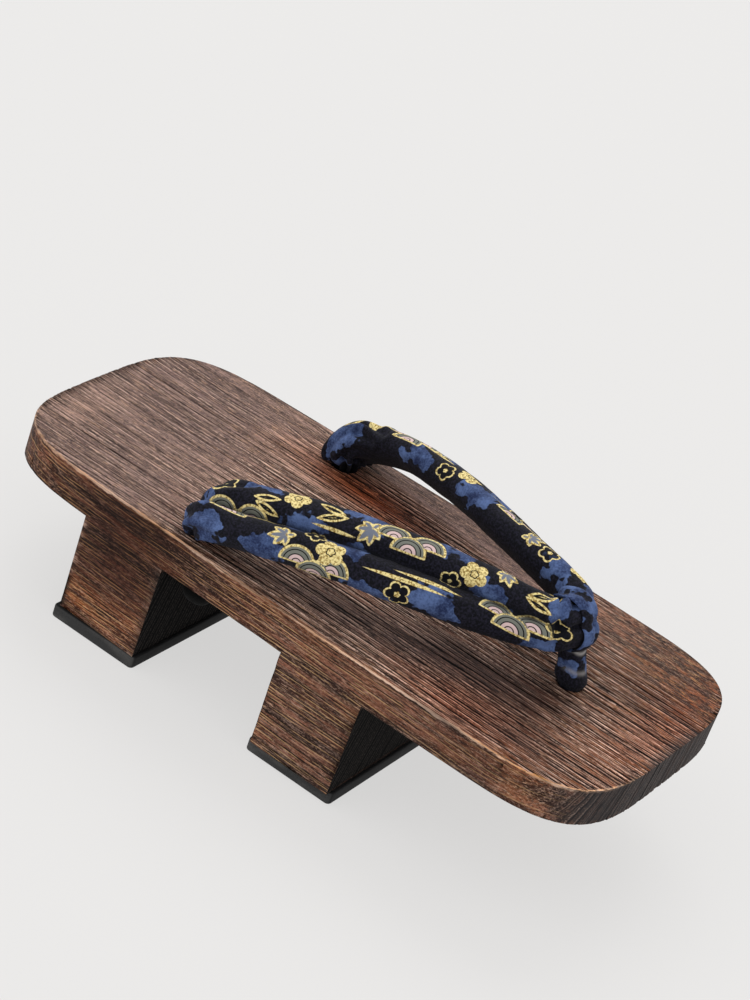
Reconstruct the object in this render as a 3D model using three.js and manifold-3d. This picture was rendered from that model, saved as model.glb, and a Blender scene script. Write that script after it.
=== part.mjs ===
// A geta sandal: one block of charred wood carved into a board on two teeth, a rubber pad
// under each tooth, a padded cloth strap, and a cloth loop that ties the strap down at the toe.
// Millimetres. +X points to the toe, +Y to the wearer's left and +Z up.
// The origin lies on the floor, under the middle of the board.
import * as THREE from 'three';
import { mergeVertices } from 'three/addons/utils/BufferGeometryUtils.js';
import Module from 'manifold-3d';

const wasm = await Module();
wasm.setup();

// Driving dimensions

const BOARD = {
  length: 265,
  halfWidth: 61.3,
  thickness: 14.6,
  edgeRadius: 1.2,
  toeRound: 60, // how far back from the toe the rounding starts
  heelRound: 58,
  roundPower: 4, // of the superellipse that shapes both ends
  taperStart: 40, // the sides draw in from here towards the heel
  taperSpan: 121,
  taperDrop: 3, // what each side has lost after one span
  taperPower: 1.5,
  pointsPerCorner: 12,
  pointsPerSide: 8,
};

const TOOTH = {
  height: 39.4,
  filletRadius: 2.5,
  lean: 0.6, // each end face draws in by this from top to bottom
  embed: 7, // how far the tooth's solid runs up into the board
  sideInset: 0.05,
};

// Where each tooth and its pad begin and end along the foot
const TEETH = [
  { name: 'front', back: 6.6, front: 42.4, padBack: 5.4, padFront: 43.2 },
  { name: 'rear', back: -85.2, front: -48.4, padBack: -86.4, padFront: -47.8 },
];

const PAD = { thickness: 5, halfWidth: 59.6, cornerRadius: 3, edgeRadius: 0.7 };

const HOLE = { radius: 5, sides: 20, toeX: 87.5, heelX: -42.5, heelY: 43.5 };

const CLEARANCE = 0.3; // between cloth pieces that lie against each other

const BOARD_BOTTOM = PAD.thickness + TOOTH.height;
const BOARD_TOP = BOARD_BOTTOM + BOARD.thickness;

// The strap's line and section, from the toe to the knot under the heel hole, for the left arm.
// x, y, z: the middle of the strap, with z counted from the top of the board.
// out: the way its outer edge faces in plan, in degrees from the toe towards the arm's own side.
// wide, thick: the section. tilt: how far the outer edge hangs down. groove: depth of its middle seam.
const STRAP_ROWS = [
  { x: 80.5, y: 0, z: 22.6, out: 0, wide: 16.5, thick: 13, tilt: 64, groove: 1 },
  { x: 77.3, y: 8.2, z: 22.6, out: 36, wide: 18, thick: 12.2, tilt: 62, groove: 1.4 },
  { x: 68.5, y: 15, z: 22.8, out: 62, wide: 20.8, thick: 11.8, tilt: 54, groove: 2.2 },
  { x: 53, y: 20.9, z: 22.9, out: 70, wide: 24, thick: 12.4, tilt: 41, groove: 3 },
  { x: 38, y: 26.5, z: 23, out: 70, wide: 26.5, thick: 13, tilt: 34, groove: 3.4 },
  { x: 22.8, y: 32.2, z: 22.6, out: 71, wide: 27, thick: 13, tilt: 32, groove: 3.4 },
  { x: 7.6, y: 37.4, z: 21.8, out: 72, wide: 27, thick: 13, tilt: 32, groove: 3.4 },
  { x: -7.6, y: 42.2, z: 20.1, out: 75, wide: 27, thick: 13, tilt: 31, groove: 3.4 },
  { x: -20, y: 45.2, z: 17.8, out: 79, wide: 27, thick: 13, tilt: 29, groove: 3.4 },
  { x: -31.5, y: 46.4, z: 14.4, out: 85, wide: 27, thick: 14, tilt: 26, groove: 3.2 },
  { x: -40.4, y: 45.6, z: 10.6, out: 91, wide: 26.4, thick: 15, tilt: 20, groove: 3 },
  { x: -43.6, y: 44.4, z: 6.2, out: 92, wide: 24, thick: 16.4, tilt: 7, groove: 2.2 },
  { x: -42.9, y: 43.8, z: 3, out: 90, wide: 18.6, thick: 13, tilt: 0, groove: 0.8 },
  { x: HOLE.heelX, y: HOLE.heelY, z: 1, out: 90, wide: 8.8, thick: 8.2, tilt: 0, groove: 0 },
  { x: HOLE.heelX, y: HOLE.heelY, z: -2, out: 90, wide: 7.6, thick: 7.6, tilt: 0, groove: 0 },
  { x: -42, y: HOLE.heelY, z: -14, out: 90, wide: 7.4, thick: 7.4, tilt: 0, groove: 0 },
  { x: -41.2, y: HOLE.heelY, z: -17, out: 90, wide: 8, thick: 8, tilt: 0, groove: 0 },
  { x: -40, y: HOLE.heelY, z: -20, out: 90, wide: 13, thick: 11.4, tilt: 0, groove: 0 },
  { x: -39.4, y: HOLE.heelY, z: -23.4, out: 90, wide: 14, thick: 12, tilt: 0, groove: 0 },
  { x: -39, y: HOLE.heelY, z: -27, out: 90, wide: 10, thick: 9, tilt: 0, groove: 0 },
  { x: -39, y: HOLE.heelY, z: -28.4, out: 90, wide: 4, thick: 4, tilt: 0, groove: 0 },
];

const STRAP = {
  stepsPerRow: 3,
  sectionPoints: 26,
  sectionPower: 2.4, // of the superellipse that the section follows
  grooveSpread: 0.2, // share of the half width
};

// The toe loop's post, from inside the strap down through the toe hole to its knot.
// long is its size along the foot and wide across it, with z counted from the top of the board.
const POST_ROWS = [
  { x: 81.6, z: 20, long: 9, wide: 9.4 },
  { x: 83.4, z: 13, long: 9.6, wide: 9.6 },
  { x: 85.6, z: 7, long: 10.4, wide: 10 },
  { x: 87, z: 2.6, long: 11, wide: 10.4 },
  { x: HOLE.toeX, z: 0.6, long: 9, wide: 9 },
  { x: HOLE.toeX, z: -2, long: 8.2, wide: 8.2 },
  { x: HOLE.toeX, z: -14.4, long: 8.2, wide: 8.2 },
  { x: HOLE.toeX, z: -17, long: 12, wide: 11 },
  { x: HOLE.toeX, z: -21, long: 15, wide: 13 },
  { x: HOLE.toeX, z: -24.8, long: 11, wide: 10 },
  { x: HOLE.toeX, z: -26.4, long: 4, wide: 4 },
];

// The loop's band is cut from the strap's own shape, swollen, over these lengths from the toe row
const LOOP = { halfWidth: 5, wall: 1.7, behind: 11.5, ahead: 14, height: 40, stepsPerRow: 2, sectionPoints: 18 };

const FINISH = {
  wood: new THREE.MeshStandardMaterial({ color: 0x5f4134, roughness: 0.6, metalness: 0 }),
  rubber: new THREE.MeshStandardMaterial({ color: 0x2b2b2b, roughness: 0.85, metalness: 0 }),
  strapCloth: new THREE.MeshStandardMaterial({ color: 0x1d2038, roughness: 0.85, metalness: 0 }),
  loopCloth: new THREE.MeshStandardMaterial({ color: 0x364a80, roughness: 0.85, metalness: 0 }),
};

// Joining and cutting

function solidFrom(geometry) {
  const bare = new THREE.BufferGeometry();
  const source = geometry.index ? geometry.toNonIndexed() : geometry;
  bare.setAttribute('position', source.getAttribute('position').clone());
  const merged = mergeVertices(bare, 1e-4);
  const mesh = new wasm.Mesh({
    numProp: 3,
    vertProperties: merged.getAttribute('position').array,
    triVerts: new Uint32Array(merged.index.array),
  });
  return new wasm.Manifold(mesh);
}

function geometryFrom(solid) {
  const mesh = solid.getMesh();
  const geometry = new THREE.BufferGeometry();
  geometry.setAttribute('position', new THREE.BufferAttribute(mesh.vertProperties, mesh.numProp));
  geometry.setIndex(new THREE.BufferAttribute(mesh.triVerts, 1));
  geometry.computeVertexNormals();
  return geometry;
}

// Skins a row of closed rings, each an array of the same number of points, and closes both ends.
function skin(rings) {
  const count = rings[0].length;
  const vertices = rings.flat();
  const triangles = [];
  for (let r = 0; r + 1 < rings.length; r += 1) {
    for (let p = 0; p < count; p += 1) {
      const next = (p + 1) % count;
      const [a, b] = [r * count + p, r * count + next];
      const [c, d] = [a + count, b + count];
      triangles.push(a, b, d, a, d, c);
    }
  }
  for (const [ring, reversed] of [[0, true], [rings.length - 1, false]]) {
    const middle = new THREE.Vector3();
    rings[ring].forEach((point) => middle.addScaledVector(point, 1 / count));
    vertices.push(middle);
    const hub = vertices.length - 1;
    for (let p = 0; p < count; p += 1) {
      const [a, b] = [ring * count + p, ring * count + ((p + 1) % count)];
      triangles.push(...(reversed ? [hub, b, a] : [hub, a, b]));
    }
  }
  const geometry = new THREE.BufferGeometry().setFromPoints(vertices);
  geometry.setIndex(triangles);
  return geometry;
}

// A smooth curve through three columns of a table, which passes row i at the parameter i / (rows - 1).
function curveThrough(rows, columns) {
  const points = rows.map((row) => new THREE.Vector3(...columns.map((name) => row[name])));
  return new THREE.CatmullRomCurve3(points, false, 'centripetal');
}

const signedPower = (value, power) => Math.sign(value) * Math.abs(value) ** power;

// The board's outline

function sideHalfWidth(x) {
  const along = Math.max(0, BOARD.taperStart - x) / BOARD.taperSpan;
  return BOARD.halfWidth - BOARD.taperDrop * along ** BOARD.taperPower;
}

function outlinePoints(inset = 0) {
  const end = BOARD.length / 2;
  const power = 2 / BOARD.roundPower;
  const left = [];
  const corner = (middleX, reach, angle) => {
    const x = middleX + reach * Math.cos(angle) ** power;
    left.push(new THREE.Vector2(x, sideHalfWidth(x) * Math.sin(angle) ** power));
  };
  for (let i = 0; i < BOARD.pointsPerCorner; i += 1) {
    corner(end - BOARD.toeRound, BOARD.toeRound, (i / BOARD.pointsPerCorner) * (Math.PI / 2));
  }
  const [sideStart, sideEnd] = [end - BOARD.toeRound, BOARD.heelRound - end];
  for (let i = 0; i <= BOARD.pointsPerSide; i += 1) {
    const x = THREE.MathUtils.lerp(sideStart, sideEnd, i / BOARD.pointsPerSide);
    left.push(new THREE.Vector2(x, sideHalfWidth(x)));
  }
  for (let i = BOARD.pointsPerCorner - 1; i >= 0; i -= 1) {
    corner(BOARD.heelRound - end, -BOARD.heelRound, (i / BOARD.pointsPerCorner) * (Math.PI / 2));
  }
  const right = left.slice(1, -1).reverse().map((point) => new THREE.Vector2(point.x, -point.y));
  const scale = new THREE.Vector2(1 - inset / end, 1 - inset / BOARD.halfWidth);
  return [...left, ...right].map((point) => point.multiply(scale));
}

// The block: board, teeth and the three holes that the cloth goes through

function boardSolid() {
  const radius = BOARD.edgeRadius;
  const geometry = new THREE.ExtrudeGeometry(new THREE.Shape(outlinePoints()), {
    depth: BOARD.thickness - 2 * radius,
    bevelThickness: radius,
    bevelSize: radius,
    bevelOffset: -radius,
    bevelSegments: 3,
  });
  return solidFrom(geometry.translate(0, 0, BOARD_BOTTOM + radius));
}

function toothSolid({ back, front }) {
  const { filletRadius: fillet, lean, embed } = TOOTH;
  const profile = new THREE.Shape();
  profile.moveTo(back + lean, PAD.thickness);
  profile.lineTo(front - lean, PAD.thickness);
  profile.lineTo(front, BOARD_BOTTOM - fillet);
  profile.absarc(front + fillet, BOARD_BOTTOM - fillet, fillet, Math.PI, Math.PI / 2, true);
  profile.lineTo(front + fillet, BOARD_BOTTOM + embed);
  profile.lineTo(back - fillet, BOARD_BOTTOM + embed);
  profile.lineTo(back - fillet, BOARD_BOTTOM);
  profile.absarc(back - fillet, BOARD_BOTTOM - fillet, fillet, Math.PI / 2, 0, true);
  profile.closePath();
  const span = 3 * BOARD.halfWidth;
  const across = new THREE.ExtrudeGeometry(profile, { depth: span, bevelEnabled: false, curveSegments: 4 });
  across.rotateX(Math.PI / 2).translate(0, span / 2, 0);
  const column = new THREE.ExtrudeGeometry(new THREE.Shape(outlinePoints(TOOTH.sideInset)), {
    depth: BOARD_TOP,
    bevelEnabled: false,
  });
  return solidFrom(across).intersect(solidFrom(column));
}

function holeSolid(x, y) {
  const drill = new THREE.CylinderGeometry(HOLE.radius, HOLE.radius, 2 * BOARD.thickness, HOLE.sides);
  drill.rotateX(Math.PI / 2).translate(x, y, BOARD_TOP - BOARD.thickness / 2);
  return solidFrom(drill);
}

function blockGeometry() {
  let block = boardSolid();
  TEETH.forEach((tooth) => {
    block = block.add(toothSolid(tooth));
  });
  const holes = [[HOLE.toeX, 0], [HOLE.heelX, HOLE.heelY], [HOLE.heelX, -HOLE.heelY]];
  holes.forEach(([x, y]) => {
    block = block.subtract(holeSolid(x, y));
  });
  return geometryFrom(block);
}

// Rubber pads

function padGeometry({ padBack, padFront }) {
  const { cornerRadius: corner, halfWidth, edgeRadius, thickness } = PAD;
  const shape = new THREE.Shape();
  shape.moveTo(padBack + corner, -halfWidth);
  shape.absarc(padFront - corner, corner - halfWidth, corner, -Math.PI / 2, 0);
  shape.absarc(padFront - corner, halfWidth - corner, corner, 0, Math.PI / 2);
  shape.absarc(padBack + corner, halfWidth - corner, corner, Math.PI / 2, Math.PI);
  shape.absarc(padBack + corner, corner - halfWidth, corner, Math.PI, 1.5 * Math.PI);
  const geometry = new THREE.ExtrudeGeometry(shape, {
    depth: thickness - 2 * edgeRadius,
    bevelThickness: edgeRadius,
    bevelSize: edgeRadius,
    bevelOffset: -edgeRadius,
    bevelSegments: 2,
    curveSegments: 4,
  });
  return geometry.translate(0, 0, edgeRadius);
}

// The strap: one padded tube from knot to knot, with a seam drawn in along the middle of its face

// The section's outline in the strap's own axes: s across the strap and t through it.
function strapSection({ wide, thick, groove }, grow) {
  const points = [];
  const power = 2 / STRAP.sectionPower;
  for (let i = 0; i < STRAP.sectionPoints; i += 1) {
    const angle = (i / STRAP.sectionPoints) * 2 * Math.PI;
    const share = signedPower(Math.cos(angle), power);
    const face = signedPower(Math.sin(angle), power);
    const seam = face > 0 ? groove * Math.exp(-((share / STRAP.grooveSpread) ** 2)) : 0;
    points.push({ s: share * (wide / 2 + grow), t: face * (thick / 2 + grow) - seam });
  }
  return points;
}

// One arm's rings from the toe to the knot, on the side that sign gives. grow swells the section evenly.
function armRings(sign, grow) {
  const last = STRAP_ROWS.length - 1;
  const mirrored = { ...STRAP_ROWS[1], y: -STRAP_ROWS[1].y, out: -STRAP_ROWS[1].out };
  const rows = [mirrored, ...STRAP_ROWS];
  const line = curveThrough(rows, ['x', 'y', 'z']);
  const size = curveThrough(rows, ['wide', 'thick', 'groove']);
  const pose = curveThrough(rows, ['out', 'tilt', 'z']);
  const rings = [];
  for (let step = 0; step <= last * STRAP.stepsPerRow; step += 1) {
    const at = (1 + step / STRAP.stepsPerRow) / (last + 1);
    const middle = line.getPoint(at);
    const along = line.getTangent(at);
    const [out, tilt] = pose.getPoint(at).toArray().map(THREE.MathUtils.degToRad);
    const [wide, thick, groove] = size.getPoint(at).toArray();
    const level = new THREE.Vector3(Math.cos(out), Math.sin(out), 0);
    level.addScaledVector(along, -level.dot(along)).normalize();
    const upright = new THREE.Vector3().crossVectors(level, along).normalize();
    const across = level.clone().multiplyScalar(Math.cos(tilt)).addScaledVector(upright, -Math.sin(tilt));
    const face = upright.multiplyScalar(Math.cos(tilt)).addScaledVector(level, Math.sin(tilt));
    rings.push(
      strapSection({ wide, thick, groove }, grow).map(({ s, t }) => {
        const point = middle.clone().addScaledVector(across, s).addScaledVector(face, t);
        return point.set(point.x, sign * point.y, point.z + BOARD_TOP);
      }),
    );
  }
  return rings;
}

function strapSolid(grow = 0) {
  const rings = [...armRings(1, grow).reverse(), ...armRings(-1, grow).slice(1)];
  return solidFrom(skin(rings));
}

// The toe loop: a cloth band drawn round the front of the strap, whose two ends go down as the post

function postSolid() {
  const last = POST_ROWS.length - 1;
  const line = curveThrough(POST_ROWS, ['x', 'long', 'z']);
  const size = curveThrough(POST_ROWS, ['long', 'wide', 'z']);
  const rings = [];
  for (let step = last * LOOP.stepsPerRow; step >= 0; step -= 1) {
    const at = step / (last * LOOP.stepsPerRow);
    const { x, z } = line.getPoint(at);
    const { x: long, y: wide } = size.getPoint(at);
    const ring = [];
    for (let i = 0; i < LOOP.sectionPoints; i += 1) {
      const angle = (i / LOOP.sectionPoints) * 2 * Math.PI;
      ring.push(
        new THREE.Vector3(x + (long / 2) * Math.cos(angle), (wide / 2) * Math.sin(angle), BOARD_TOP + z),
      );
    }
    rings.push(ring);
  }
  return solidFrom(skin(rings));
}

function loopGeometry() {
  const [toe] = STRAP_ROWS;
  const gate = new THREE.BoxGeometry(LOOP.behind + LOOP.ahead, 2 * LOOP.halfWidth, LOOP.height);
  gate.translate(toe.x + (LOOP.ahead - LOOP.behind) / 2, 0, BOARD_TOP + toe.z);
  const band = strapSolid(CLEARANCE + LOOP.wall).intersect(solidFrom(gate));
  return geometryFrom(band.add(postSolid()).subtract(strapSolid(CLEARANCE)));
}

// The assembly

function piece(name, geometry, material) {
  const mesh = new THREE.Mesh(geometry, material);
  mesh.name = name;
  return mesh;
}

const sandal = new THREE.Group();
sandal.add(piece('wood_block', blockGeometry(), FINISH.wood));
TEETH.forEach((tooth) => sandal.add(piece(`${tooth.name}_pad`, padGeometry(tooth), FINISH.rubber)));
sandal.add(piece('strap', geometryFrom(strapSolid()), FINISH.strapCloth));
sandal.add(piece('toe_loop', loopGeometry(), FINISH.loopCloth));

export default sandal;
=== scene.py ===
import math

import bmesh
import bpy
import numpy as np
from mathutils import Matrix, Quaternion, Vector, noise


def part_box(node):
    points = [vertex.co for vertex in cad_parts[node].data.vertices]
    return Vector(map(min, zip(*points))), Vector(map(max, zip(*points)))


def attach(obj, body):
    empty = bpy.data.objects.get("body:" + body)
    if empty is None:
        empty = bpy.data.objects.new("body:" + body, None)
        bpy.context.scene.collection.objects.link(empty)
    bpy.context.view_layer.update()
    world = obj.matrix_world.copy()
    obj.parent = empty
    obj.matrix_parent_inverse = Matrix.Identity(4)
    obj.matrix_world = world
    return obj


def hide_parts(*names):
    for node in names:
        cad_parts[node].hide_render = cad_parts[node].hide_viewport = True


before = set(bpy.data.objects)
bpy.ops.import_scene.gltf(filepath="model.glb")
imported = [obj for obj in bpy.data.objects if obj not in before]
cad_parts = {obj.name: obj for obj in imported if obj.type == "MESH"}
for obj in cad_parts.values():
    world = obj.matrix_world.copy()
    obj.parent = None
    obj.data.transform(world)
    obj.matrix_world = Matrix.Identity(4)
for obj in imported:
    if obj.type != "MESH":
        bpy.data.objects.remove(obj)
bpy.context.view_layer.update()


# The studio. A sheet of pale paper that glows a little is the floor. A soft lamp behind the sandal draws the
# strap's shadow on the board, a broad one fills in from the heel, and a long lens looks down from the
# toe's right.
CAMERA_PLACE = Vector((0.37087, -0.83668, 0.59572))
CAMERA_AIM = Vector((-0.0069, 0.0, 0.0795))
CAMERA_ROLL = math.radians(20.05)
CAMERA_LENS = 105.9
FLOOR_HALF = 6.0
ROOM_LIGHT = 0.93
LAMPS = (
    # name, direction that it shines from, strength, softness in degrees
    ("key_lamp", (-0.36, 0.60, 0.80), 1.15, 40),
    ("fill_lamp", (-0.55, -0.66, 0.55), 0.50, 60),
)
PAPER_GLOW = 0.62


def paint(red, green, blue):
    """A colour as read from a screen, 0 to 255, as the shader takes it."""
    shares = (red / 255, green / 255, blue / 255)
    return tuple(s / 12.92 if s <= 0.04045 else ((s + 0.055) / 1.055) ** 2.4 for s in shares) + (1.0,)


def add_node(tree, kind, inputs=None, **settings):
    """Adds a node. An input that is given a socket is linked to it, and any other is set to its value."""
    node = tree.nodes.new(kind)
    for name, value in settings.items():
        setattr(node, name, value)
    for name, value in (inputs or {}).items():
        if isinstance(value, bpy.types.NodeSocket):
            tree.links.new(value, node.inputs[name])
        else:
            node.inputs[name].default_value = value
    return node


def new_material(name):
    """A material with an empty node tree but for its output. Returns both."""
    material = bpy.data.materials.new(name)
    material.use_nodes = True
    material.node_tree.nodes.clear()
    return material, material.node_tree


def finish_material(tree, **inputs):
    """Ends a material in one Principled shader with these inputs, underscores standing for spaces."""
    named = {name.replace("_", " "): value for name, value in inputs.items()}
    shader = add_node(tree, "ShaderNodeBsdfPrincipled", named)
    add_node(tree, "ShaderNodeOutputMaterial", {"Surface": shader.outputs["BSDF"]})


def mesh_object(name, shape, material, smooth=True):
    """Turns a bmesh into a linked object with one material."""
    mesh = bpy.data.meshes.new(name)
    shape.to_mesh(mesh)
    shape.free()
    mesh.polygons.foreach_set("use_smooth", [smooth] * len(mesh.polygons))
    mesh.materials.append(material)
    piece = bpy.data.objects.new(name, mesh)
    bpy.context.scene.collection.objects.link(piece)
    return piece


paper, tree = new_material("pale_paper")
finish_material(
    tree, Base_Color=paint(112, 111, 110), Roughness=0.95, Specular_IOR_Level=0.1,
    Emission_Color=paint(255, 254, 253), Emission_Strength=PAPER_GLOW,
)
shape = bmesh.new()
bmesh.ops.create_grid(shape, x_segments=1, y_segments=1, size=FLOOR_HALF)
mesh_object("floor", shape, paper, smooth=False)

world = bpy.data.worlds.new("studio")
world.use_nodes = True
world.node_tree.nodes["Background"].inputs["Color"].default_value = (1.0, 1.0, 1.0, 1.0)
world.node_tree.nodes["Background"].inputs["Strength"].default_value = ROOM_LIGHT
bpy.context.scene.world = world
bpy.context.scene.view_settings.view_transform = "Standard"

for name, direction, strength, softness in LAMPS:
    lamp = bpy.data.lights.new(name, "SUN")
    lamp.energy = strength
    lamp.angle = math.radians(softness)
    lamp_object = bpy.data.objects.new(name, lamp)
    lamp_object.rotation_euler = Vector(direction).to_track_quat("Z", "Y").to_euler()
    bpy.context.scene.collection.objects.link(lamp_object)

camera = bpy.data.objects.new("camera", bpy.data.cameras.new("camera"))
camera.location = CAMERA_PLACE
look = (CAMERA_AIM - CAMERA_PLACE).to_track_quat("-Z", "Y")
camera.rotation_euler = (look @ Quaternion((0, 0, 1), CAMERA_ROLL)).to_euler()
camera.data.lens = CAMERA_LENS
bpy.context.scene.collection.objects.link(camera)
bpy.context.scene.camera = camera


# The block. One piece of light wood is carved into a flat board on two full-width teeth, charred, and brushed
# along the grain, so that the soft rings lie lower and darker than the hard ones. Three holes take the strap.
MM = 0.001
BOARD_LENGTH = 265.0
BOARD_HALF_WIDTH = 61.3
BOARD_BOTTOM = 44.4
BOARD_TOP = 59.0
TOE_ROUND = 60.0
HEEL_ROUND = 58.0
TAPER_START = 40.0
TAPER_SPAN = 121.0
TAPER_DROP = 3.0
OUTLINE_POINTS = 144
TEETH = ((6.6, 42.4), (-85.2, -48.4))
TOOTH_FOOT = 5.0
TOOTH_LEAN = 0.6
EDGE_ROUND = 1.3
HOLE_RADIUS = 5.0
HOLE_RIM = 0.2
DRILL_LENGTH = 60.0
SHARP_ANGLE = math.radians(35)
HOLES = ((87.5, 0.0), (-42.5, 43.5), (-42.5, -43.5))
GRAIN_STEP = 0.5
LENGTH_STEP = 5.0
WALL_STEP = 1.3
RING_LEAN = 0.32
CUT_DEPTH = 0.38
PAINTED_SHADE_PLACES = (
    # x, y, half length, half width, slope along the board, strength: painted shade, mostly the shadow of the
    # strap and the post, elsewhere just darker
    (14, -41, 38, 8.5, 0.2, 1.1),
    (58, -25, 28, 12, 0.1, 1.1),
    (86, -38, 22, 12, 0, 0.8),
    (98, -52, 20, 8, 0, 0.8),
    (84, -8, 14, 10, 0, 0.6),
    (110, 20, 18, 11, 0, 1),
    (88, -19, 16, 7, 0, 0.6),
    (-90, 6, 24, 9, 0, 0.25),
    (42, 54, 16, 8, 0, 0.9),
)
# The first two painted shade places, the strap's shadow along the near side, are painted greyer too.
SHADE_STRIPS = PAINTED_SHADE_PLACES[:2]
WARM_PLACES = (
    # as above: warmer, browner
    (-48, 28, 26, 18, 0, 0.7),
    (14, 14, 40, 14, 0, 0.4),
    (114, 24, 24, 34, 0, 0.4),
)
EMBER_PLACES = (
    # as above: redder
    (-26, 34, 30, 11, 0, 0.95),
    (72, -48, 26, 14, 0, 0.55),
    (124, 12, 14, 46, 0, 0.45),
)
PAINTED_LIGHT_PLACES = (
    # as above: painted light, a paler board where it is lit more
    (-56, 30, 18, 16, 0, 0.9),
    (-54, -6, 14, 8, 0, 0.7),
    (-38, 20, 16, 14, 0, 0.8),
    (-70, -20, 22, 9, 0, 0.4),
    (-80, 54, 24, 6, 0, 0.4),
    (-122, -20, 12, 24, 0, 0.5),
    (26, -54, 24, 5, 0, 0.9),
    (122, -4, 10, 12, 0, 0.4),
)


def cut_along(shape, axis, places):
    """Cuts every face of a bmesh with planes across one axis."""
    normal = [0.0, 0.0, 0.0]
    normal[axis] = 1.0
    for place in places:
        point = [0.0, 0.0, 0.0]
        point[axis] = place
        geometry = shape.verts[:] + shape.edges[:] + shape.faces[:]
        bmesh.ops.bisect_plane(shape, geom=geometry, dist=1e-4, plane_co=point, plane_no=normal)


def outline_place(ahead, aside):
    """The point of the board's outline that a point of the unit circle stands for."""
    reach = TOE_ROUND if ahead >= 0 else HEEL_ROUND
    straight = BOARD_LENGTH / 2 - reach
    return (
        math.copysign(straight + reach * abs(ahead) ** 0.5, ahead),
        math.copysign(BOARD_HALF_WIDTH * abs(aside) ** 0.5, aside),
    )


def inside_outline(x, y):
    """How far points lie inside the board's outline, in millimetres."""
    angles = np.linspace(0.0, 2.0 * math.pi, OUTLINE_POINTS + 1)
    corners = [outline_place(math.cos(angle), math.sin(angle)) for angle in angles]
    distance = np.full(x.shape, BOARD_LENGTH)
    for (x0, y0), (x1, y1) in zip(corners, corners[1:]):
        a, b = x1 - x0, y1 - y0
        share = np.clip(((x - x0) * a + (y - y0) * b) / (a * a + b * b), 0.0, 1.0)
        distance = np.minimum(distance, np.hypot(x - x0 - share * a, y - y0 - share * b))
    return distance


def vert_place(vert):
    """A point's place, to a thousandth of a millimetre."""
    return tuple(round(number, 3) for number in vert.co)


def vert_numbers(item):
    """The numbers of an edge's or a face's points."""
    return sorted(vert.index for vert in item.verts)


def in_order(shape):
    """Numbers a bmesh by place, because a bevel leaves its new points in another order each run."""
    for items, key in ((shape.verts, vert_place), (shape.edges, vert_numbers), (shape.faces, vert_numbers)):
        rank = {item: number for number, item in enumerate(sorted(items, key=key))}
        items.sort(key=rank.get)
        items.index_update()
    return shape


def carved_block():
    """The plain block in millimetres: outline, board, teeth, rounded edges."""
    shape = bmesh.new()
    bmesh.ops.create_circle(shape, cap_ends=True, segments=OUTLINE_POINTS, radius=1.0)
    for vert in shape.verts:
        vert.co = (*outline_place(vert.co.x, vert.co.y), BOARD_BOTTOM)
    lifted = bmesh.ops.extrude_face_region(shape, geom=shape.faces[:], use_keep_orig=True)
    raised = [item for item in lifted["geom"] if isinstance(item, bmesh.types.BMVert)]
    bmesh.ops.translate(shape, vec=(0, 0, BOARD_TOP - BOARD_BOTTOM), verts=raised)
    bmesh.ops.recalc_face_normals(shape, faces=shape.faces[:])
    for back, front in TEETH:
        for place in (back, front):
            under = [face for face in shape.faces if face.normal.z < -0.9]
            edges = list(dict.fromkeys(edge for face in under for edge in face.edges))
            verts = list(dict.fromkeys(vert for face in under for vert in face.verts))
            bmesh.ops.bisect_plane(
                shape, geom=verts + edges + under, dist=1e-4, plane_co=(place, 0, 0), plane_no=(1, 0, 0)
            )
    for back, front in TEETH:
        under = [face for face in shape.faces if face.normal.z < -0.9]
        root = [face for face in under if back < face.calc_center_median().x < front]
        drawn = bmesh.ops.extrude_face_region(shape, geom=root)
        bmesh.ops.delete(shape, geom=root, context="FACES_ONLY")
        foot = [item for item in drawn["geom"] if isinstance(item, bmesh.types.BMVert)]
        bmesh.ops.translate(shape, vec=(0, 0, TOOTH_FOOT - BOARD_BOTTOM), verts=foot)
        for vert in foot:
            vert.co.x += math.copysign(TOOTH_LEAN, (back + front) / 2 - vert.co.x)
    bmesh.ops.recalc_face_normals(shape, faces=shape.faces[:])
    sharp = [edge for edge in shape.edges if edge.calc_face_angle(0.0) > SHARP_ANGLE]
    bmesh.ops.bevel(
        shape, geom=sharp, offset=EDGE_ROUND, offset_type="OFFSET", affect="EDGES", segments=3, profile=0.5,
        material=-1, clamp_overlap=True,
    )
    return in_order(shape)


def drilled(shape):
    """Takes the strap's three holes out of a solid bmesh and returns the new one."""
    drill = bmesh.new()
    for x, y in HOLES:
        made = bmesh.ops.create_cone(
            drill, cap_ends=True, segments=32, radius1=HOLE_RADIUS, radius2=HOLE_RADIUS, depth=DRILL_LENGTH
        )
        bmesh.ops.translate(drill, vec=(x, y, BOARD_TOP), verts=made["verts"])
    block = mesh_object("undrilled", shape, paper)
    bits = mesh_object("drill_bits", drill, paper)
    boring = block.modifiers.new("holes", "BOOLEAN")
    boring.operation = "DIFFERENCE"
    boring.object = bits
    boring.solver = "EXACT"
    bored = bmesh.new()
    bored.from_object(block, bpy.context.evaluated_depsgraph_get())
    for scrap in (block, bits):
        mesh = scrap.data
        bpy.data.objects.remove(scrap)
        bpy.data.meshes.remove(mesh)
    return bored


def soft_step(value, low, high):
    """Goes smoothly from 0 at low to 1 at high."""
    share = np.clip((value - low) / (high - low), 0.0, 1.0)
    return share * share * (3.0 - 2.0 * share)


def noise_field(columns, seed):
    """Smooth noise, about -1 to 1, at the points whose three coordinates stand in columns."""
    shifted = np.column_stack(np.broadcast_arrays(*columns)) + seed * 17.31
    return np.array([noise.noise(Vector(row)) for row in shifted])


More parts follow.
